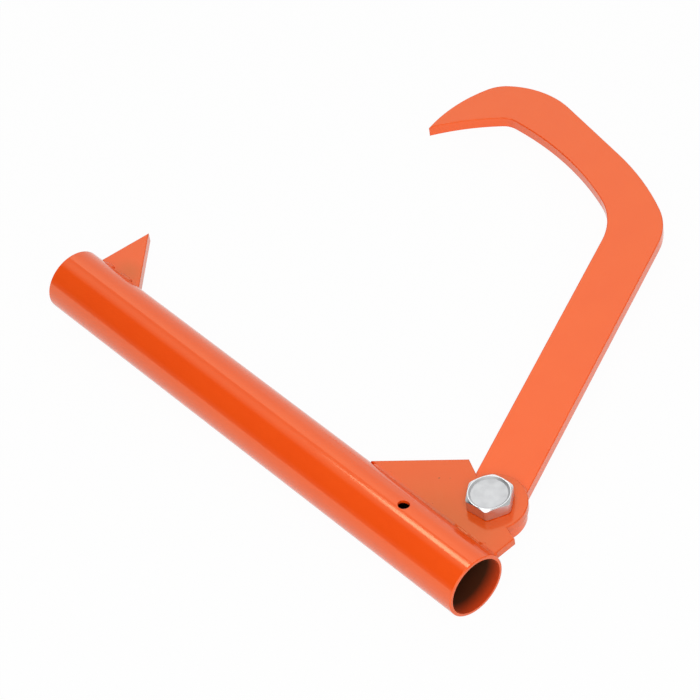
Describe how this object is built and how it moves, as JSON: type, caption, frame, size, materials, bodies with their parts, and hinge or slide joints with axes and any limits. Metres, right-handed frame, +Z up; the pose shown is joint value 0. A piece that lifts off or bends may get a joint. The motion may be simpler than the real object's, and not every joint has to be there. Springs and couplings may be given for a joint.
{
  "type": "log hook",
  "caption": "Log-turning hook for the end of a pole: a steel tube socket with a fixed toe spike, and a flat curved hook arm that swings on a bolt in a welded hinge plate.",
  "frame": {"origin": "the middle of the socket tube's mouth, on the tube's axis", "axes": "+X out of the mouth along the tube, +Y from the tube towards the hook, +Z up, square to the plates and along the pivot bolt"},
  "size_m": [0.382, 0.347, 0.0441],
  "materials": {
    "orange_paint": "glossy orange coating over welded steel",
    "zinc_steel": "bright zinc plating",
    "nylon": "plain nylon"
  },
  "bodies": {
    "socket": {"socket_tube": "orange_paint", "hinge_plate": "orange_paint", "toe_spike": "orange_paint", "spike_weld_upper": "orange_paint", "spike_weld_lower": "orange_paint", "plate_weld_upper": "orange_paint", "plate_weld_lower": "orange_paint", "pivot_bolt": "zinc_steel", "pivot_washer": "zinc_steel", "lock_nut": "zinc_steel", "nut_insert": "nylon"},
    "hook": {"hook_arm": "orange_paint"}
  },
  "joints": [
    {"name": "hook_pivot", "type": "hinge", "parent": "socket", "child": "hook", "pos_m": [-0.034, 0.0455, 0], "axis": [0, 0, 1], "range_deg": [-115, 34]}
  ]
}
